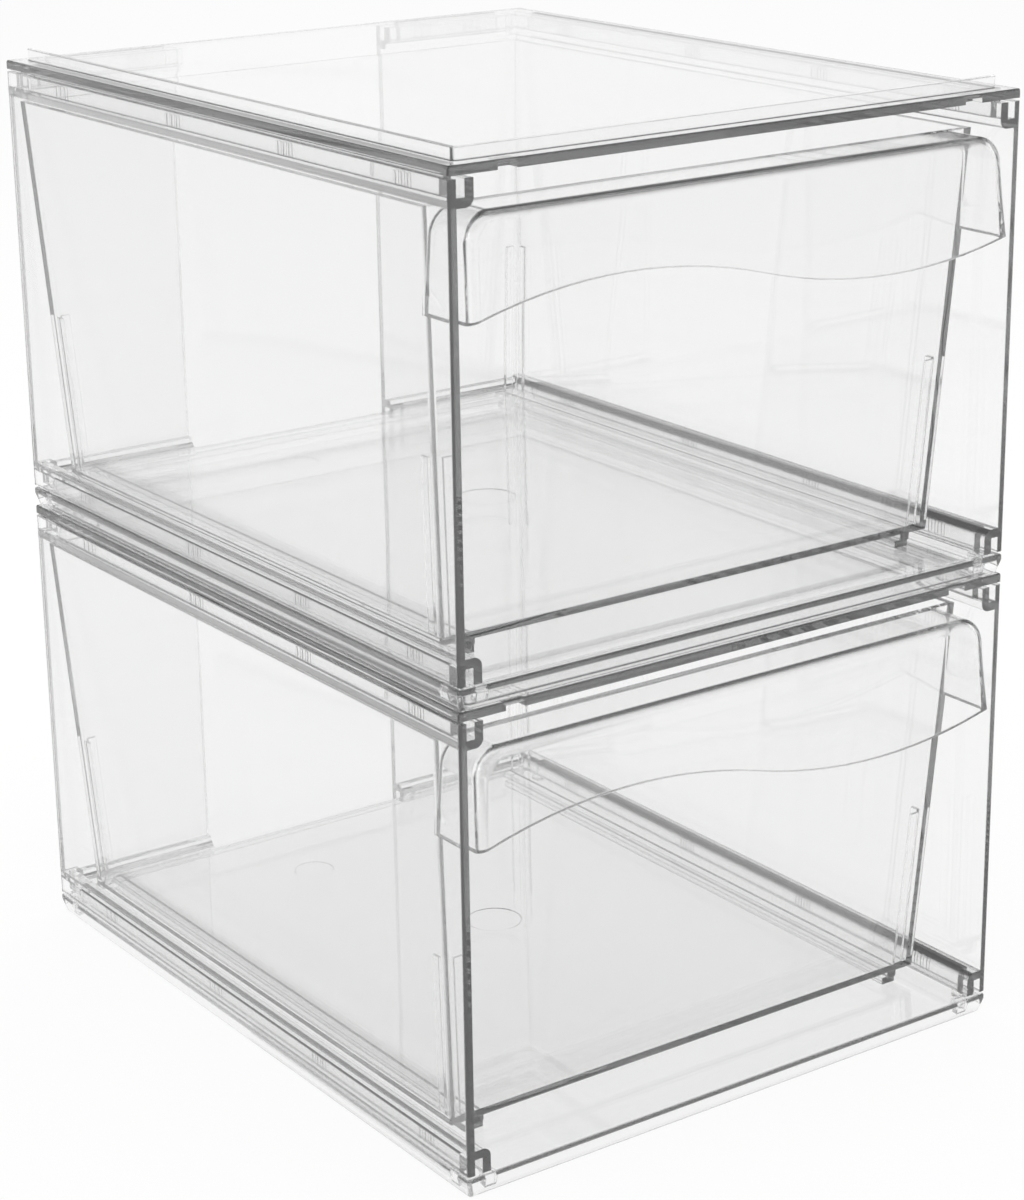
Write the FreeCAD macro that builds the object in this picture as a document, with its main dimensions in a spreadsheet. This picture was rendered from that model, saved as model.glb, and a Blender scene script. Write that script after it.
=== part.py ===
# Two stackable drawer boxes, one standing on the other, each with one drawer.
# Millimetres, +X to the right, +Y to the back, +Z up, origin under the middle of the whole stack.

import FreeCAD
import Part
import Sketcher
import math
import os
import re

doc = FreeCAD.newDocument("drawer_stack")

# Driving sizes
SIZES = {
    "case_width": "240",
    "case_depth": "299",
    "skirt_height": "5.3",
    "skirt_wall": "2",
    "skirt_draft": "1.5",
    "base_thickness": "2.1",
    "top_thickness": "3.2",
    "plate_corner": "1",
    "plate_edge_round": "0.8",
    "seat_gap": "1.1",
    "panel_height": "163.4",
    "panel_sheet": "2.8",
    "panel_gap": "0.2",
    "panel_end_round": "1.8",
    "panel_edge_round": "1.2",
    "channel_gap": "3.2",
    "channel_lip": "3.3",
    "channel_depth": "5.9",
    "channel_web": "3.2",
    "channel_round": "3.4",
    "back_opening": "95.2",
    "rail_thickness": "2.8",
    "rail_end": "7",
    "crush_width": "1.2",
    "crush_pitch": "3.4",
    "crush_height": "4.6",
    "crush_count": "3",
    "crush_gap": "0.05",
    "rim_inset": "5.8",
    "rim_wall": "2",
    "rim_height": "4.3",
    "rim_corner": "2.2",
    "notch_width": "7.8",
    "notch_height": "1.8",
    "notch_reach": "5",
    "notch_inset": "22.3",
    "locator_gap": "0.4",
    "locator_length": "4.6",
    "locator_height": "3.6",
    "locator_offset": "8",
    "drawer_wall": "2.4",
    "drawer_floor": "2.4",
    "drawer_lift": "5.5",
    "drawer_headroom": "2",
    "drawer_side_gap": "1.8",
    "drawer_side_taper": "8.4",
    "drawer_recess": "18.9",
    "drawer_front_taper": "7.8",
    "drawer_back_gap": "1.4",
    "drawer_back_taper": "7.8",
    "drawer_corner": "0.8",
    "drawer_foot_round": "0.6",
    "lining_proud": "1.2",
    "lining_start": "2.6",
    "lining_width": "3.5",
    "lining_reach": "64.6",
    "runner_height": "2.8",
    "runner_width": "4.2",
    "runner_inset": "10.2",
    "runner_round": "1.2",
    "runner_gap": "0.2",
    "track_width": "6",
    "gate_radius": "11",
    "gate_depth": "0.4",
    "mark_radius": "8",
    "mark_depth": "0.2",
    "mark_left": "28",
    "mark_back": "85",
    "hood_drop": "33.8",
    "hood_wall": "2.3",
    "hood_side_gap": "2.9",
    "hood_side_draft": "1.4",
    "hood_proud": "2.7",
    "hood_setback": "0.5",
    "hood_corner": "10",
    "hood_edge_round": "4",
    "hood_foot_round": "0.6",
    "wave_rise": "7.9",
    "wave_cross": "4",
    "wave_fall": "1.3",
    "round_share": "0.48",
    "least_share": "0.25",
    "cut_overrun": "5",
}

# Places that follow from the driving sizes
PLACES = {
    "half_width": "case_width / 2",
    "front_y": "(hood_proud - case_depth) / 2",
    "back_y": "front_y + case_depth",
    "base_high": "skirt_height + base_thickness",
    "panel_low": "base_high + seat_gap",
    "panel_high": "panel_low + panel_height",
    "top_low": "panel_high + seat_gap",
    "top_high": "top_low + top_thickness",
    "channel_width": "panel_sheet + channel_gap + channel_lip",
    "channel_height": "channel_depth + channel_web",
    "corner_round": "min(channel_round; (channel_lip + channel_web) * round_share)",
    "rail_height": "seat_gap + channel_depth",
    "rail_side_gap": "(channel_gap - rail_thickness) / 2",
    "crush_proud": "rail_side_gap - crush_gap",
    "rail_outer": "half_width - panel_sheet - rail_side_gap",
    "rail_back": "back_y - panel_sheet - rail_side_gap",
    "notch_offset": "half_width - notch_inset",
    "back_panel_inner": "back_opening / 2",
    "back_panel_channel_end": "half_width - channel_width - panel_gap",
    "drawer_low": "base_high + drawer_lift",
    "drawer_high": "panel_high - channel_height - drawer_headroom",
    "drawer_rise": "drawer_high - drawer_low",
    "drawer_low_half": "half_width - panel_sheet - drawer_side_gap - drawer_side_taper",
    "drawer_low_front": "front_y + drawer_recess + drawer_front_taper",
    "drawer_low_back": "back_y - panel_sheet - drawer_back_gap - drawer_back_taper",
    "runner_offset": "drawer_low_half - runner_inset",
    "drawer_middle": "(drawer_low_front + drawer_low_back) / 2",
    "side_slope": "drawer_side_taper / drawer_rise",
    "front_slope": "drawer_front_taper / drawer_rise",
    "back_slope": "drawer_back_taper / drawer_rise",
    "lining_high": "drawer_low + lining_reach",
    "track_height": "drawer_lift - runner_height - runner_gap",
    "wave_level": "drawer_high - hood_drop",
    "hood_low_half": "half_width - panel_sheet - hood_side_gap",
    "wave_right_share": "1 - wave_cross / hood_low_half",
    "wave_end": "wave_level - wave_fall",
    "wave_radius": "((hood_low_half / 2) ^ 2 + wave_rise ^ 2) / (2 * wave_rise)",
    "hood_low": "wave_end - wave_rise * wave_right_share",
    "hood_rise": "drawer_high - hood_low",
    "hood_low_front": "front_y - hood_proud",
    "hood_side_slope": "hood_side_draft / hood_rise",
    "hood_front_slope": "(hood_proud + hood_setback) / hood_rise",
    "hood_join": "front_y + drawer_recess + front_slope * hood_rise + drawer_wall / 2",
}

# Where the four groups of crush ribs stand along a side rail, as shares of the case's depth
SIDE_STATION_SHARES = (0.095, 0.33, 0.58, 0.86)
# Where the two groups stand along a back rail, as shares of the back panel's channel
BACK_STATION_SHARES = (0.25, 0.75)

sheet = doc.addObject("Spreadsheet::Sheet", "sizes")
names = set(SIZES) | set(PLACES)
for row, (alias, text) in enumerate(SIZES.items(), 1):
    sheet.set(f"A{row}", alias)
    sheet.set(f"B{row}", text)
    sheet.setAlias(f"B{row}", alias)
for row, (alias, text) in enumerate(PLACES.items(), len(SIZES) + 2):
    sheet.set(f"A{row}", alias)
    sheet.setAlias(f"B{row}", alias)
for row, (alias, text) in enumerate(PLACES.items(), len(SIZES) + 2):
    sheet.set(f"B{row}", "=" + text)
doc.recompute()


# Helpers that bind objects to the sheet
def bound(text):
    """The text with every name of the sheet written as a reference to it."""
    return re.sub(r"[a-z_]+", lambda found: f"sizes.{found[0]}" if found[0] in names else found[0], text)


def value(text):
    """The number that an expression in the sheet's names has now."""
    return float(sheet.evalExpression(bound(text)))


def bind(thing, **expressions):
    """Binds each named property to its expression."""
    for name, text in expressions.items():
        thing.setExpression(name, bound(text))


def place(thing, x="0", y="0", z="0"):
    """Binds the thing's position."""
    for axis, text in zip("xyz", (x, y, z)):
        thing.setExpression(f"Placement.Base.{axis}", bound(text))


def block(name, low, high):
    """A box from one corner to the other, each corner given as three expressions."""
    piece = doc.addObject("Part::Box", name)
    lengths = [f"({b}) - ({a})" for a, b in zip(low, high)]
    bind(piece, Length=lengths[0], Width=lengths[1], Height=lengths[2])
    place(piece, *low)
    return piece


def tapered(name, low_z, low, high_z, high):
    """A solid between two level rectangles, each given as x low, x high, y low, y high."""
    piece = doc.addObject("Part::Wedge", name)
    piece.Placement.Rotation = FreeCAD.Rotation(FreeCAD.Vector(1, 0, 0), 90)
    bind(piece, Ymin=low_z, Ymax=high_z, Xmin=low[0], Xmax=low[1], X2min=high[0], X2max=high[1])
    bind(piece, Zmin=f"-({low[3]})", Zmax=f"-({low[2]})", Z2min=f"-({high[3]})", Z2max=f"-({high[2]})")
    return piece


def joined(name, pieces):
    """The pieces as one solid."""
    fuse = doc.addObject("Part::MultiFuse", name)
    fuse.Shapes = pieces
    fuse.Refine = True
    return fuse


def cut(name, base, tool):
    """The base without the tool's space."""
    result = doc.addObject("Part::Cut", name)
    result.Base = base
    result.Tool = tool
    result.Refine = True
    return result


def shared(name, first, second):
    """The space that two solids share."""
    result = doc.addObject("Part::Common", name)
    result.Base = first
    result.Tool = second
    return result


def rounded(name, base, radius, chosen):
    """The base with the chosen edges rounded to a radius from the sheet."""
    doc.recompute()
    edges = [i for i, edge in enumerate(base.Shape.Edges, 1) if chosen(edge)]
    fillet = doc.addObject("Part::Fillet", name)
    fillet.Base = base
    fillet.Edges = [(i, value(radius), value(radius)) for i in edges]
    doc.recompute()
    return fillet


def rises(edge):
    """True for an edge that runs mostly upward."""
    ends = [vertex.Point for vertex in edge.Vertexes]
    return len(ends) == 2 and abs(ends[1].z - ends[0].z) > edge.Length / 2


def straight(edge):
    """True for an edge without a bend."""
    return abs(edge.Length - (edge.Vertexes[-1].Point - edge.Vertexes[0].Point).Length) < SAME


def level_at(height):
    """A test for edges that lie at one height."""
    return lambda edge: all(abs(v.Z - height) < SAME for v in edge.Vertexes)


SAME = 1e-6
PLANES = {"XY": "XY_Plane", "XZ": "XZ_Plane", "YZ": "YZ_Plane"}


def outline(body, name, plane, points, arcs=None):
    """A closed sketch through points given as expressions; arcs maps an edge's index to its radius.

    A positive radius bends the edge to the left of its way, a negative one to the right.
    """
    sketch = body.newObject("Sketcher::SketchObject", name)
    origin = [f for f in body.Origin.OriginFeatures if f.Role == PLANES[plane]][0]
    sketch.AttachmentSupport = (origin, [""])
    sketch.MapMode = "FlatFace"
    spots = [FreeCAD.Vector(value(u), value(v), 0) for u, v in points]
    for i, start in enumerate(spots):
        end = spots[(i + 1) % len(spots)]
        if arcs and i in arcs:
            sketch.addGeometry(bend(start, end, value(arcs[i])), False)
        else:
            sketch.addGeometry(Part.LineSegment(start, end), False)
    backward = {i for i in (arcs or {}) if value(arcs[i]) < 0}
    for i in range(len(spots)):
        follow = (i + 1) % len(spots)
        last = 1 if i in backward else 2
        first = 2 if follow in backward else 1
        sketch.addConstraint(Sketcher.Constraint("Coincident", i, last, follow, first))
    for i, (u, v) in enumerate(points):
        first = 2 if i in backward else 1
        for kind, text in (("DistanceX", u), ("DistanceY", v)):
            index = sketch.addConstraint(Sketcher.Constraint(kind, -1, 1, i, first, value(text)))
            sketch.setExpression(f"Constraints[{index}]", bound(text))
    for i, radius in (arcs or {}).items():
        index = sketch.addConstraint(Sketcher.Constraint("Radius", i, abs(value(radius))))
        sketch.setExpression(f"Constraints[{index}]", bound(f"abs({radius})"))
    return sketch


def bend(start, end, radius):
    """The shorter arc from start to end; its centre is to the left of the way for a positive radius."""
    chord = end - start
    middle = (start + end) / 2
    away = math.sqrt(max(radius ** 2 - (chord.Length / 2) ** 2, 0))
    left = FreeCAD.Vector(-chord.y, chord.x, 0) / chord.Length
    centre = middle + left * math.copysign(away, radius)
    circle = Part.Circle(centre, FreeCAD.Vector(0, 0, 1), abs(radius))
    a, b = (start, end) if radius > 0 else (end, start)
    angles = [math.atan2(p.y - centre.y, p.x - centre.x) for p in (a, b)]
    if angles[1] < angles[0]:
        angles[1] += 2 * math.pi
    return Part.ArcOfCircle(circle, *angles)


def pad(body, name, sketch, length, reverse=False):
    """A pad of the sketch by a length from the sheet."""
    feature = body.newObject("PartDesign::Pad", name)
    feature.Profile = sketch
    feature.Reversed = reverse
    bind(feature, Length=length)
    return feature


def channel_points(face, sign, low, high):
    """The section of a wall sheet with a channel at its top and foot, from its outer face inward.

    face is the outer face's coordinate and sign the way inward, as expressions; the result is the
    outline's points and the arcs at the channels' free corners.
    """
    def inward(distance):
        return f"({face}) + ({sign}) * ({distance})"

    sheet_in = inward("panel_sheet")
    lip_out = inward("panel_sheet + channel_gap")
    lip_in = inward("channel_width")
    turn = inward("channel_width - corner_round")
    half = [
        (inward("0"), low),
        (sheet_in, low),
        (sheet_in, f"{low} + channel_depth"),
        (lip_out, f"{low} + channel_depth"),
        (lip_out, low),
        (lip_in, low),
        (lip_in, f"{low} + channel_height - corner_round"),
        (turn, f"{low} + channel_height"),
        (sheet_in, f"{low} + channel_height"),
    ]
    flipped = [(u, f"({low}) + ({high}) - ({v})") for u, v in reversed(half)]
    return half + flipped


def side_panel(unit, side):
    """A side wall: a flat sheet with a channel along its top and one along its foot."""
    sign = 1 if side == "right" else -1
    body = doc.addObject("PartDesign::Body", f"{unit}_{side}_side_body")
    points = channel_points(f"{sign} * half_width", f"{-sign}", "panel_low", "panel_high")
    arcs = {6: f"{-sign} * corner_round", 10: f"{-sign} * corner_round"}
    section = outline(body, f"{unit}_{side}_section", "XZ", points, arcs)
    bind_offset(section, "-back_y")
    pad(body, f"{unit}_{side}_sheet", section, "case_depth")
    face = value(f"{sign} * half_width")

    def outside_and_upright(e):
        return rises(e) and all(abs(v.X - face) < SAME for v in e.Vertexes)

    return rounded(f"{unit}_{side}_sheet_ends", body, "panel_edge_round", outside_and_upright)


def bind_offset(sketch, text):
    """Moves a sketch along its own normal."""
    sketch.setExpression("AttachmentOffset.Base.z", bound(text))


def back_panel(unit, side):
    """Half of the back wall: a sheet with the same channels, notched to clear the side wall's own."""
    sign = 1 if side == "right" else -1
    body = doc.addObject("PartDesign::Body", f"{unit}_{side}_back_body")
    points = channel_points("back_y", "-1", "panel_low", "panel_high")
    arcs = {6: "corner_round", 10: "corner_round"}
    section = outline(body, f"{unit}_{side}_back_section", "YZ", points, arcs)
    bind_offset(section, f"{sign} * back_panel_inner")
    pad(body, f"{unit}_{side}_back_sheet", section, "back_panel_channel_end - back_panel_inner", side == "left")
    low = "panel_low + channel_height + panel_gap"
    high = "panel_high - channel_height - panel_gap"
    inner = "back_y - panel_sheet"
    corners = [(inner, low), ("back_y", low), ("back_y", high), (inner, high)]
    flank = outline(body, f"{unit}_{side}_back_flank", "YZ", corners)
    bind_offset(flank, f"{sign} * back_panel_channel_end")
    reach = "half_width - panel_sheet - panel_gap - back_panel_channel_end"
    pad(body, f"{unit}_{side}_back_wing", flank, reach, side == "left")
    end = value(f"{sign} * back_panel_inner")
    face = value("back_y - panel_sheet")

    lip = value("back_y - channel_width")
    turn = value("back_y - channel_width + corner_round")

    def on_free_end(e):
        middle = e.valueAt((e.FirstParameter + e.LastParameter) / 2)
        inside = all(abs(v.X - end) < SAME and v.Y < face - SAME for v in e.Vertexes)
        return inside and (abs(middle.y - lip) < SAME or lip < middle.y < turn and not straight(e))

    return rounded(f"{unit}_{side}_back_ends", body, "panel_end_round", on_free_end)


def rails(unit, panel, low, high):
    """The rails that enter the walls' channels, with their crush ribs, between two heights."""
    pieces = []
    tip = "(%s) - crush_height" % high if panel == "base" else low
    tip_high = high if panel == "base" else "(%s) + crush_height" % low
    for sign, side in ((-1, "left"), (1, "right")):
        name = f"{unit}_{panel}_{side}_rail"
        x_in = f"{sign} * rail_outer - {(sign + 1) // 2} * rail_thickness"
        x_out = f"({x_in}) + rail_thickness"
        front = "front_y + rail_end"
        back = "back_y - channel_width - rail_end"
        pieces.append(block(name, (x_in, front, low), (x_out, back, high)))
        for i, share in enumerate(SIDE_STATION_SHARES):
            for k in range(round(value("crush_count"))):
                middle = f"front_y + case_depth * {share} + crush_pitch * ({k} - (crush_count - 1) / 2)"
                pieces.append(block(
                    f"{name}_crush_{i}_{k}",
                    (f"({x_in}) - crush_proud", f"{middle} - crush_width / 2", tip),
                    (f"({x_out}) + crush_proud", f"{middle} + crush_width / 2", tip_high),
                ))
        name = f"{unit}_{panel}_{side}_back_rail"
        near = "back_panel_inner + rail_end"
        far = "back_panel_channel_end - rail_end"
        ends = (f"-({far})", f"-({near})") if side == "left" else (near, far)
        y_in = "rail_back - rail_thickness"
        pieces.append(block(name, (ends[0], y_in, low), (ends[1], "rail_back", high)))
        for i, share in enumerate(BACK_STATION_SHARES):
            for k in range(round(value("crush_count"))):
                station = f"{ends[0]} + ({ends[1]} - ({ends[0]})) * {share}"
                middle = f"({station} + crush_pitch * ({k} - (crush_count - 1) / 2))"
                pieces.append(block(
                    f"{name}_crush_{i}_{k}",
                    (f"{middle} - crush_width / 2", f"{y_in} - crush_proud", tip),
                    (f"{middle} + crush_width / 2", "rail_back + crush_proud", tip_high),
                ))
    return pieces


def around(inset):
    """The case's footprint drawn in by an inset, as x low, x high, y low, y high."""
    return (f"-half_width + {inset}", f"half_width - {inset}", f"front_y + {inset}", f"back_y - {inset}")


def base_panel(unit):
    """The floor plate, with the skirt that it stands on, its locators, rails and drawer tracks."""
    name = f"{unit}_base"
    x_low, x_high, y_low, y_high = around("0")
    plate = block(f"{name}_plate", (x_low, y_low, "skirt_height"), (x_high, y_high, "base_high"))
    plate = rounded(f"{name}_plate_corners", plate, "plate_corner", rises)
    plate = rounded(f"{name}_plate_edge", plate, "plate_edge_round", level_at(value("base_high")))
    outer = tapered(f"{name}_skirt_outer", "0", around("skirt_draft"), "skirt_height", around("0"))
    outer = rounded(f"{name}_skirt_corners", outer, "plate_corner", rises)
    inner = tapered(
        f"{name}_skirt_inner", "0", around("skirt_draft + skirt_wall"), "skirt_height", around("skirt_wall")
    )
    skirt = cut(f"{name}_skirt", outer, inner)
    pieces = [plate, skirt]
    z_low = "skirt_height - locator_height"
    near = "locator_offset"
    far = "locator_offset + locator_length"
    face = "rim_inset - locator_gap"
    for i, (sx, sy) in enumerate(((-1, -1), (1, -1), (1, 1), (-1, 1))):
        for kind in ("side", "end"):
            reach = (("skirt_wall", face), (near, far))
            if kind == "end":
                reach = (reach[1], reach[0])
            xs = [f"{sx} * (half_width - ({t}))" for t in reach[0]]
            y_edge = "front_y" if sy < 0 else "back_y"
            ys = [f"{y_edge} - {sy} * ({t})" for t in reach[1]]
            xs = xs if sx < 0 else xs[::-1]
            ys = ys if sy < 0 else ys[::-1]
            pieces.append(block(
                f"{name}_locator_{kind}_{i}", (xs[0], ys[0], z_low), (xs[1], ys[1], "skirt_height")
            ))
    for sign in (-1, 1):
        x = f"{sign} * runner_offset"
        pieces.append(block(
            f"{name}_track_{sign + 1}",
            (f"{x} - track_width / 2", "drawer_low_front + drawer_wall", "base_high"),
            (f"{x} + track_width / 2", "back_y - channel_width - rail_end", "base_high + track_height"),
        ))
    pieces += rails(unit, "base", "base_high", "base_high + rail_height")
    return joined(f"{name}_panel", pieces)


def top_panel(unit):
    """The lid plate, with the raised rim that the next box stands around, its rails and notches."""
    name = f"{unit}_top"
    x_low, x_high, y_low, y_high = around("0")
    plate = block(f"{name}_plate", (x_low, y_low, "top_low"), (x_high, y_high, "top_high"))
    plate = rounded(f"{name}_plate_corners", plate, "plate_corner", rises)
    plate = rounded(f"{name}_plate_edge", plate, "plate_edge_round", level_at(value("top_high")))
    x_low, x_high, y_low, y_high = around("rim_inset")
    rim_outer = block(
        f"{name}_rim_outer", (x_low, y_low, "top_high"), (x_high, y_high, "top_high + rim_height")
    )
    rim_outer = rounded(f"{name}_rim_corners", rim_outer, "rim_corner", rises)
    x_low, x_high, y_low, y_high = around("rim_inset + rim_wall")
    rim_inner = block(
        f"{name}_rim_inner", (x_low, y_low, "top_high"), (x_high, y_high, "top_high + rim_height")
    )
    rim_inner = rounded(f"{name}_rim_hollow", rim_inner, "max(rim_corner - rim_wall; rim_wall * least_share)", rises)
    rim = cut(f"{name}_rim", rim_outer, rim_inner)
    pieces = [plate, rim] + rails(unit, "top", "top_low - rail_height", "top_low")
    whole = joined(f"{name}_whole", pieces)
    notches = []
    for sign in (-1, 1):
        x = f"{sign} * notch_offset"
        notches.append(block(
            f"{name}_notch_{sign + 1}",
            (f"{x} - notch_width / 2", "front_y - cut_overrun", "top_low - cut_overrun"),
            (f"{x} + notch_width / 2", "front_y + notch_reach", "top_low + notch_height"),
        ))
    return cut(f"{name}_panel", whole, joined(f"{name}_notches", notches))


def tub_at(z, across="0", along="0"):
    """The drawer's outer walls at a height, drawn in across and along it, as a rectangle."""
    half = f"drawer_low_half + side_slope * ({z} - drawer_low) - ({across})"
    front = f"drawer_low_front - front_slope * ({z} - drawer_low) + ({along})"
    back = f"drawer_low_back + back_slope * ({z} - drawer_low) - ({along})"
    return (f"-({half})", half, front, back)


def tub(name, low, high, across="0", along="0"):
    """A solid that follows the drawer's walls between two heights, drawn in from them."""
    return tapered(name, low, tub_at(low, across, along), high, tub_at(high, across, along))


def hood_at(z, inset="0"):
    """The handle hood's outer faces at a height, drawn in by an inset, as a rectangle."""
    half = f"hood_low_half - hood_side_slope * ({z} - hood_low) - ({inset})"
    front = f"hood_low_front + hood_front_slope * ({z} - hood_low) + ({inset})"
    return (f"-({half})", half, front, "hood_join")


def hood_solid(name, low, high, inset, corner, edge, foot):
    """The hood's solid between two heights, with its top corners and the edge round its front rounded.

    The rounding of the two upright edges shrinks from edge at the top to foot at the bottom.
    """
    solid = tapered(name, low, hood_at(low, inset), high, hood_at(high, inset))
    top = value(high)

    def runs_back(e):
        ends = [v.Point for v in e.Vertexes]
        return level_at(top)(e) and abs(ends[0].y - ends[1].y) > e.Length / 2

    solid = rounded(f"{name}_corners", solid, corner, runs_back)
    bottom = value(low)
    join = value("hood_join")
    picked = []
    for i, e in enumerate(solid.Shape.Edges, 1):
        if level_at(bottom)(e) or any(v.Y > join - SAME for v in e.Vertexes):
            continue
        radii = [value(foot) if abs(v.Z - bottom) < SAME else value(edge) for v in e.Vertexes]
        picked.append((i, radii[0], radii[-1]))
    fillet = doc.addObject("Part::Fillet", f"{name}_edge")
    fillet.Base = solid
    fillet.Edges = picked
    return fillet


def hood(unit):
    """The pull: a hood open below, whose front edge runs in a long wave."""
    name = f"{unit}_hood"
    outer = hood_solid(
        f"{name}_outer", "hood_low", "drawer_high", "0", "hood_corner", "hood_edge_round", "hood_foot_round"
    )
    inner = hood_solid(
        f"{name}_inner",
        "(hood_low - cut_overrun)",
        "(drawer_high - hood_wall)",
        "hood_wall",
        "max(hood_corner - hood_wall; hood_wall * least_share)",
        "max(hood_edge_round - hood_wall; hood_wall * least_share)",
        "max(hood_foot_round - hood_wall; hood_wall * least_share)",
    )
    shell = cut(f"{name}_shell", outer, inner)
    body = doc.addObject("PartDesign::Body", f"{name}_wave_body")
    under = "hood_low - cut_overrun"
    end = "hood_low_half + cut_overrun"
    points = [
        (f"-({end})", under),
        (end, under),
        (end, "wave_end"),
        ("hood_low_half", "wave_end"),
        ("wave_cross", "wave_level"),
        ("-hood_low_half", "wave_end"),
        (f"-({end})", "wave_end"),
    ]
    arcs = {3: "-wave_radius", 4: "wave_radius"}
    wave = outline(body, f"{name}_wave_line", "XZ", points, arcs)
    bind_offset(wave, "-hood_join - cut_overrun")
    pad(body, f"{name}_wave", wave, "case_depth")
    return cut(f"{name}_waved", shell, body)


def lining(unit):
    """Pairs of low ribs in the drawer's corners, which keep nested drawers from jamming."""
    name = f"{unit}_lining"
    low = "(drawer_low + drawer_floor / 2)"
    proud = "drawer_wall + lining_proud"
    near = "drawer_wall + lining_start"
    far = "drawer_wall + lining_start + lining_width"
    thick = cut(
        f"{name}_ring",
        tub(f"{name}_out", low, "lining_high", "drawer_wall / 2", "drawer_wall / 2"),
        tub(f"{name}_in", low, "lining_high", proud, proud),
    )
    on_ends = cut(
        f"{name}_end_bands",
        tub(f"{name}_end_near", low, "lining_high", near, "0"),
        tub(f"{name}_end_far", low, "lining_high", far, "0"),
    )
    on_sides = cut(
        f"{name}_side_bands",
        tub(f"{name}_side_near", low, "lining_high", "0", near),
        tub(f"{name}_side_far", low, "lining_high", "0", far),
    )
    bands = joined(f"{name}_bands", [on_ends, on_sides])
    return shared(f"{name}_ribs", thick, bands)


def drawer(unit):
    """The drawer: a tub that tapers to its floor, with the hood moulded on its front."""
    name = f"{unit}_drawer"
    outer = tub(f"{name}_tub_outer", "drawer_low", "drawer_high")
    outer = rounded(f"{name}_tub_corners", outer, "drawer_corner", rises)
    outer = rounded(f"{name}_tub_foot", outer, "drawer_foot_round", level_at(value("drawer_low")))
    inner = tub(
        f"{name}_tub_inner",
        "(drawer_low + drawer_floor)",
        "(drawer_high + cut_overrun)",
        "drawer_wall",
        "drawer_wall",
    )
    hollow_round = "max(drawer_corner - drawer_wall; drawer_wall * least_share)"
    inner = rounded(f"{name}_tub_hollow", inner, hollow_round, rises)
    shell = cut(f"{name}_shell", joined(f"{name}_solid", [outer, hood(unit)]), inner)
    runners = []
    for sign in (-1, 1):
        x = f"{sign} * runner_offset"
        runner = block(
            f"{name}_runner_{sign + 1}",
            (f"{x} - runner_width / 2", "drawer_low_front + drawer_foot_round", "drawer_low - runner_height"),
            (f"{x} + runner_width / 2", "drawer_low_back - drawer_foot_round", "drawer_low"),
        )
        foot = value("drawer_low - runner_height")
        runners.append(rounded(
            f"{name}_runner_foot_{sign + 1}",
            runner,
            "min(runner_round; runner_width * round_share)",
            lambda e: level_at(foot)(e) and abs(e.Vertexes[0].Y - e.Vertexes[1].Y) > SAME,
        ))
    whole = joined(f"{name}_whole", [shell, lining(unit)] + runners)
    gate = doc.addObject("Part::Cylinder", f"{name}_gate")
    bind(gate, Radius="gate_radius", Height="gate_depth")
    place(gate, "0", "drawer_middle", "drawer_low")
    mark = doc.addObject("Part::Cylinder", f"{name}_mark")
    bind(mark, Radius="mark_radius", Height="mark_depth")
    place(mark, "-mark_left", "drawer_middle + mark_back", "drawer_low")
    return cut(f"{name}_body", whole, joined(f"{name}_marks", [gate, mark]))


def build_unit(unit, height):
    """All the pieces of one box, standing at a height."""
    pieces = {
        "base_panel": base_panel(unit),
        "left_side_panel": side_panel(unit, "left"),
        "right_side_panel": side_panel(unit, "right"),
        "left_back_panel": back_panel(unit, "left"),
        "right_back_panel": back_panel(unit, "right"),
        "top_panel": top_panel(unit),
        "drawer": drawer(unit),
    }
    for name, piece in pieces.items():
        piece.Label = f"{unit}_{name}"
        place(piece, z=height)
    return list(pieces.values())


parts = build_unit("lower", "0") + build_unit("upper", "top_high")
doc.recompute()

# Checks before anything is written
for thing in doc.Objects:
    if "Invalid" in thing.State or "Error" in thing.State:
        raise RuntimeError(f"{thing.Label} did not rebuild: {thing.State}")
for piece in parts:
    if piece.Shape.isNull() or not piece.Shape.isValid() or len(piece.Shape.Solids) != 1:
        raise RuntimeError(f"{piece.Label} is not one valid solid")

os.makedirs("parts", exist_ok=True)
for piece in parts:
    piece.Shape.exportStep(os.path.join("parts", f"{piece.Label}.step"))
    print(piece.Label, [round(v, 2) for v in (piece.Shape.BoundBox.XMin, piece.Shape.BoundBox.XMax,
          piece.Shape.BoundBox.YMin, piece.Shape.BoundBox.YMax,
          piece.Shape.BoundBox.ZMin, piece.Shape.BoundBox.ZMax)], round(piece.Shape.Volume))
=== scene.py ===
"""A stack of two clear plastic drawer boxes on a plain pale floor, dressed and lit as in a studio."""

import enum
import logging
import math
from dataclasses import dataclass, field

import bpy
import bmesh
from mathutils import Matrix, Vector


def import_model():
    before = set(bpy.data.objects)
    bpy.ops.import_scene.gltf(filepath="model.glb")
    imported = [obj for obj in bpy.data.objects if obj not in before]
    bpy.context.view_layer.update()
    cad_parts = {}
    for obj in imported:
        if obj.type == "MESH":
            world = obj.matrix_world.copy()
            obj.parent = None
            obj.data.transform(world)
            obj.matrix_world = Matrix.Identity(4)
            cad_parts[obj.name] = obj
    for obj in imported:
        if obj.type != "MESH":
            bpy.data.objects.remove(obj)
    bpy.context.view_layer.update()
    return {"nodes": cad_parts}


log = logging.getLogger("drawer_boxes")


class Moulding(enum.Enum):
    """The two plastics of the product."""

    CASE = "clear_case"
    DRAWER = "clear_drawer"


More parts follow.
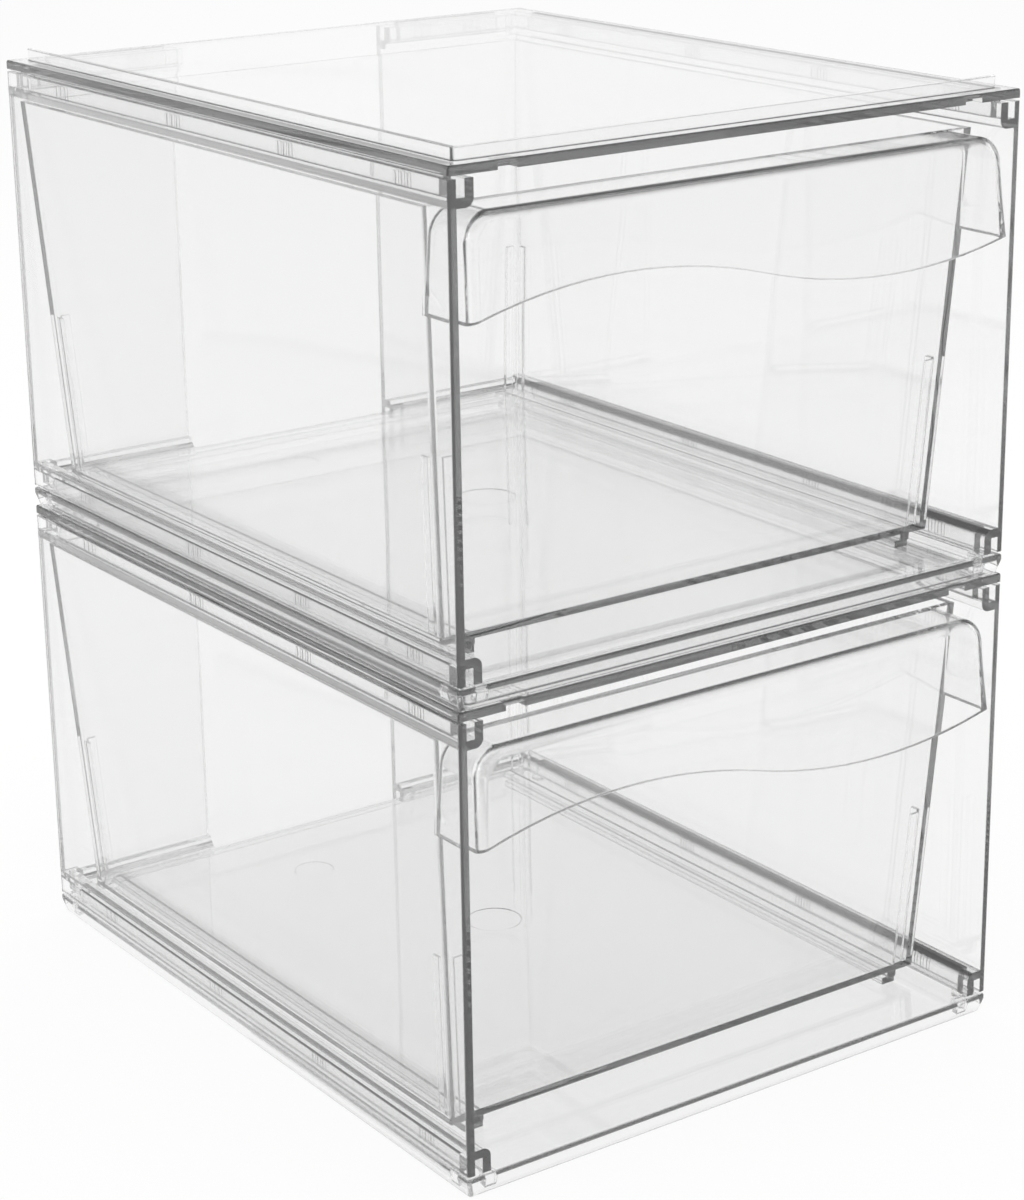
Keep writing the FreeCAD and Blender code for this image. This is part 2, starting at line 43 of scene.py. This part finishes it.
@dataclass(frozen=True)
class ClearPlastic:
    """A clear moulded plastic: glossy, nearly colourless, grey through a long path, rounded at every edge.

    Lengths are in metres. The tint is what one surface lets through, the painted glow is a trace of even
    white light painted into the plastic as a self-glow that stands in for light its haze would scatter, and
    the depth colour and density darken a long path inside. The flow waves are left by the moulding.
    """

    name: str
    tint: tuple[float, float, float]
    flow_height: float
    flow_scale: float = 9.0
    flow_detail: float = 1.0
    flow_stretch: tuple[float, float, float] = (1.0, 0.6, 1.6)
    refraction: float = 1.57
    roughness: float = 0.0
    clearness: float = 1.0
    painted_glow: float = 0.0025
    depth_colour: tuple[float, float, float] = (0.40, 0.402, 0.404)
    depth_density: float = 9.0
    edge_round: float = 0.0007
    edge_samples: int = 3

    def material(self) -> bpy.types.Material:
        """Makes the material.

        Returns:
            The node material, with rounded edges, faint flow waves, a trace of painted glow and an absorbing
            inside.
        """
        made = bpy.data.materials.new(self.name)
        made.use_nodes = True
        nodes, links = made.node_tree.nodes, made.node_tree.links
        surface = nodes["Principled BSDF"]
        surface.inputs["Base Color"].default_value = (*self.tint, 1.0)
        surface.inputs["Roughness"].default_value = self.roughness
        surface.inputs["IOR"].default_value = self.refraction
        surface.inputs["Transmission Weight"].default_value = self.clearness
        # Painted light: a faint, even white emission makes the plastic glow without any lamp. It stands in
        # for light scattered by haze.
        surface.inputs["Emission Color"].default_value = (1.0, 1.0, 1.0, 1.0)
        surface.inputs["Emission Strength"].default_value = self.painted_glow
        made.cycles.emission_sampling = "NONE"
        place = nodes.new("ShaderNodeTexCoord")
        stretch = nodes.new("ShaderNodeMapping")
        stretch.inputs["Scale"].default_value = self.flow_stretch
        flow = nodes.new("ShaderNodeTexNoise")
        flow.inputs["Scale"].default_value = self.flow_scale
        flow.inputs["Detail"].default_value = self.flow_detail
        edges = nodes.new("ShaderNodeBevel")
        edges.samples = self.edge_samples
        edges.inputs["Radius"].default_value = self.edge_round
        waves = nodes.new("ShaderNodeBump")
        waves.inputs["Strength"].default_value = 1.0
        waves.inputs["Distance"].default_value = self.flow_height
        links.new(place.outputs["Object"], stretch.inputs["Vector"])
        links.new(stretch.outputs["Vector"], flow.inputs["Vector"])
        links.new(flow.outputs["Fac"], waves.inputs["Height"])
        links.new(edges.outputs["Normal"], waves.inputs["Normal"])
        links.new(waves.outputs["Normal"], surface.inputs["Normal"])
        inside = nodes.new("ShaderNodeVolumeAbsorption")
        inside.inputs["Color"].default_value = (*self.depth_colour, 1.0)
        inside.inputs["Density"].default_value = self.depth_density
        links.new(inside.outputs["Volume"], nodes["Material Output"].inputs["Volume"])
        return made


@dataclass
class MouldedPiece:
    """One moulded piece of a box, as the frame holds it.

    Its loose triangles are joined within the weld length in metres, and shaded smooth up to the crease angle.
    """

    node: str
    moulding: Moulding
    weld: float = 0.00001
    crease: float = math.radians(28.0)
    flat_weight: int = 100

    def dress(self, shown: bpy.types.Object, finish: bpy.types.Material) -> bpy.types.Object:
        """Gives the piece its plastic and smooths its rounded edges.

        Args:
            shown: The frame's object for this piece.
            finish: The plastic that it is moulded from.

        Returns:
            The dressed object.
        """
        shown.data.materials.clear()
        shown.data.materials.append(finish)
        for face in shown.data.polygons:
            face.use_smooth = True
        joined = shown.modifiers.new("weld", "WELD")
        joined.merge_threshold = self.weld
        creased = shown.modifiers.new("creases", "EDGE_SPLIT")
        creased.split_angle = self.crease
        creased.use_edge_sharp = False
        flat = shown.modifiers.new("flat_faces", "WEIGHTED_NORMAL")
        flat.weight = self.flat_weight
        return shown


@dataclass
class DrawerBox:
    """One box of the stack: its case's panels and its drawer."""

    unit: str
    panels: tuple[str, ...] = (
        "base_panel",
        "left_side_panel",
        "right_side_panel",
        "left_back_panel",
        "right_back_panel",
        "top_panel",
    )
    drawer: str = "drawer"

    def pieces(self) -> list[MouldedPiece]:
        """Lists the box's moulded pieces."""
        case = [MouldedPiece(f"{self.unit}_{name}", Moulding.CASE) for name in self.panels]
        return [*case, MouldedPiece(f"{self.unit}_{self.drawer}", Moulding.DRAWER)]

    def dress(
        self,
        nodes: dict[str, bpy.types.Object],
        finishes: dict[Moulding, bpy.types.Material],
    ) -> None:
        """Dresses every piece of the box.

        Args:
            nodes: The frame's objects by name.
            finishes: The material of each plastic.
        """
        for piece in self.pieces():
            piece.dress(nodes[piece.node], finishes[piece.moulding])
            log.info("%s dressed in %s", piece.node, piece.moulding.value)


@dataclass
class PhotoCamera:
    """The camera as the picture was taken: its place in metres, its angles in degrees, its lens in mm."""

    place: tuple[float, float, float] = (-0.61578, -0.88269, 0.50842)
    azimuth: float = -35.148
    elevation: float = 18.36
    roll: float = -0.815
    lens: float = 88.57
    sensor: float = 36.0
    near: float = 0.01
    far: float = 50.0

    def make(self) -> bpy.types.Object:
        """Makes the camera and hands it to the scene.

        Returns:
            The camera object.
        """
        data = bpy.data.cameras.new("photo_camera")
        data.sensor_fit = "AUTO"
        data.sensor_width = self.sensor
        data.lens = self.lens
        data.clip_start = self.near
        data.clip_end = self.far
        camera = bpy.data.objects.new("photo_camera", data)
        bpy.context.scene.collection.objects.link(camera)
        turn, lift = math.radians(self.azimuth), math.radians(self.elevation)
        level = math.cos(lift)
        back = Vector((math.sin(turn) * level, -math.cos(turn) * level, math.sin(lift)))
        facing = (-back).to_track_quat("-Z", "Y").to_matrix().to_4x4()
        rolled = Matrix.Rotation(math.radians(self.roll), 4, "Z")
        camera.matrix_world = Matrix.Translation(self.place) @ facing @ rolled
        bpy.context.scene.camera = camera
        return camera


@dataclass(frozen=True)
class Softbox:
    """One soft lamp: its place and size in metres, its power in watts, and whether the plastic shows it."""

    name: str
    place: tuple[float, float, float]
    size: tuple[float, float]
    power: float
    mirrored: bool

    def hang(self, aim: Vector) -> bpy.types.Object:
        """Hangs the lamp.

        Args:
            aim: The point that it is turned to.

        Returns:
            The lamp.
        """
        data = bpy.data.lights.new(self.name, "AREA")
        data.shape = "RECTANGLE"
        data.size, data.size_y = self.size
        data.energy = self.power
        lamp = bpy.data.objects.new(self.name, data)
        lamp.location = self.place
        lamp.rotation_euler = (aim - Vector(self.place)).to_track_quat("-Z", "Y").to_euler()
        lamp.visible_glossy = self.mirrored
        lamp.visible_transmission = self.mirrored
        bpy.context.scene.collection.objects.link(lamp)
        return lamp


@dataclass
class Studio:
    """The floor, the lamps and the surrounding room.

    The lamps are turned to the aim, in metres. To a look, the room is white up to the height where the
    ceiling starts and fades to the ceiling's tone where it ends; both are sines of an elevation. The shadow
    share is how much of its real shading the floor shows.
    """

    aim: tuple[float, float, float] = (0.0, 0.0, 0.18)
    floor_size: float = 24.0
    floor_tone: float = 0.97
    floor_roughness: float = 0.9
    shadow_share: float = 0.08
    room_tone: float = 0.55
    ceiling_tone: float = 0.08
    ceiling_start: float = math.sin(math.radians(17.0))
    ceiling_end: float = math.sin(math.radians(40.0))
    bounces: int = 64
    softboxes: tuple[Softbox, ...] = (
        Softbox("top_softbox", (0.0, 0.0, 2.2), (2.4, 2.4), 30.0, mirrored=False),
        Softbox("left_softbox", (-2.4, 0.2, 1.0), (1.2, 1.2), 16.0, mirrored=True),
        Softbox("right_softbox", (2.2, -1.4, 1.2), (1.2, 1.2), 12.0, mirrored=False),
    )

    def looked_at(self, tree: bpy.types.NodeTree) -> bpy.types.NodeSocket:
        """Adds the nodes that tell a look from light: camera, mirrored and refracted rays.

        Args:
            tree: The node tree to add them to.

        Returns:
            A socket that is 1 for such a ray and 0 for light.
        """
        ray = tree.nodes.new("ShaderNodeLightPath")
        found = ray.outputs["Is Camera Ray"]
        for kind in ("Is Glossy Ray", "Is Transmission Ray"):
            either = tree.nodes.new("ShaderNodeMath")
            either.operation = "MAXIMUM"
            tree.links.new(found, either.inputs[0])
            tree.links.new(ray.outputs[kind], either.inputs[1])
            found = either.outputs["Value"]
        return found

    def paper(self) -> bpy.types.Material:
        """Makes the floor's matt paper, white to a look apart from a share of its shading.

        Returns:
            The material.
        """
        made = bpy.data.materials.new("floor_paper")
        made.use_nodes = True
        tree = made.node_tree
        matt = tree.nodes["Principled BSDF"]
        tone = self.floor_tone
        matt.inputs["Base Color"].default_value = (tone, tone, tone, 1.0)
        matt.inputs["Roughness"].default_value = self.floor_roughness
        matt.inputs["Specular IOR Level"].default_value = 0.0
        white = tree.nodes.new("ShaderNodeEmission")
        share = tree.nodes.new("ShaderNodeMath")
        share.operation = "MULTIPLY"
        share.inputs[1].default_value = 1.0 - self.shadow_share
        mixed = tree.nodes.new("ShaderNodeMixShader")
        tree.links.new(self.looked_at(tree), share.inputs[0])
        tree.links.new(share.outputs["Value"], mixed.inputs["Fac"])
        tree.links.new(matt.outputs["BSDF"], mixed.inputs[1])
        tree.links.new(white.outputs["Emission"], mixed.inputs[2])
        tree.links.new(mixed.outputs["Shader"], tree.nodes["Material Output"].inputs["Surface"])
        return made

    def lay_floor(self) -> bpy.types.Object:
        """Lays the floor that the stack stands on.

        Returns:
            The floor.
        """
        mesh = bpy.data.meshes.new("floor")
        shape = bmesh.new()
        bmesh.ops.create_grid(shape, x_segments=1, y_segments=1, size=self.floor_size / 2)
        shape.to_mesh(mesh)
        shape.free()
        floor = bpy.data.objects.new("floor", mesh)
        bpy.context.scene.collection.objects.link(floor)
        mesh.materials.append(self.paper())
        return floor

    def fill_room(self) -> None:
        """Makes the room: plain as a lamp, and to a look white low down and greyer overhead."""
        world = bpy.data.worlds.new("studio")
        world.use_nodes = True
        tree = world.node_tree
        lamp = tree.nodes["Background"]
        lamp.inputs["Color"].default_value = (1.0, 1.0, 1.0, 1.0)
        lamp.inputs["Strength"].default_value = self.room_tone
        place = tree.nodes.new("ShaderNodeTexCoord")
        parts = tree.nodes.new("ShaderNodeSeparateXYZ")
        fade = tree.nodes.new("ShaderNodeMapRange")
        fade.interpolation_type = "SMOOTHSTEP"
        fade.inputs["From Min"].default_value = self.ceiling_start
        fade.inputs["From Max"].default_value = self.ceiling_end
        fade.inputs["To Min"].default_value = 1.0
        fade.inputs["To Max"].default_value = self.ceiling_tone
        walls = tree.nodes.new("ShaderNodeBackground")
        walls.inputs["Color"].default_value = (1.0, 1.0, 1.0, 1.0)
        seen = tree.nodes.new("ShaderNodeMixShader")
        tree.links.new(place.outputs["Generated"], parts.inputs["Vector"])
        tree.links.new(parts.outputs["Z"], fade.inputs["Value"])
        tree.links.new(fade.outputs["Result"], walls.inputs["Strength"])
        tree.links.new(self.looked_at(tree), seen.inputs["Fac"])
        tree.links.new(lamp.outputs["Background"], seen.inputs[1])
        tree.links.new(walls.outputs["Background"], seen.inputs[2])
        tree.links.new(seen.outputs["Shader"], tree.nodes["World Output"].inputs["Surface"])
        bpy.context.scene.world = world

    def make(self) -> None:
        """Makes the whole studio."""
        self.lay_floor()
        self.fill_room()
        for softbox in self.softboxes:
            softbox.hang(Vector(self.aim))
        scene = bpy.context.scene
        scene.view_settings.view_transform = "Standard"
        scene.cycles.max_bounces = self.bounces
        scene.cycles.transmission_bounces = self.bounces
        scene.cycles.glossy_bounces = self.bounces


@dataclass
class Stack:
    """The whole stack: its two boxes and the plastics that they are moulded from."""

    boxes: list[DrawerBox] = field(default_factory=lambda: [DrawerBox("lower"), DrawerBox("upper")])
    case_plastic: ClearPlastic = ClearPlastic("clear_case", (0.955, 0.955, 0.955), 0.00014)
    drawer_plastic: ClearPlastic = ClearPlastic("clear_drawer", (0.98, 0.98, 0.98), 0.0004)

    def dress(self, nodes: dict[str, bpy.types.Object]) -> None:
        """Dresses both boxes.

        Args:
            nodes: The frame's objects by name.
        """
        finishes = {
            Moulding.CASE: self.case_plastic.material(),
            Moulding.DRAWER: self.drawer_plastic.material(),
        }
        for box in self.boxes:
            box.dress(nodes, finishes)


def main() -> None:
    """Builds the scene in order."""
    logging.basicConfig(level=logging.INFO)
    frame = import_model()
    PhotoCamera().make()
    Studio().make()
    Stack().dress(frame["nodes"])


if __name__ == "__main__":
    main()
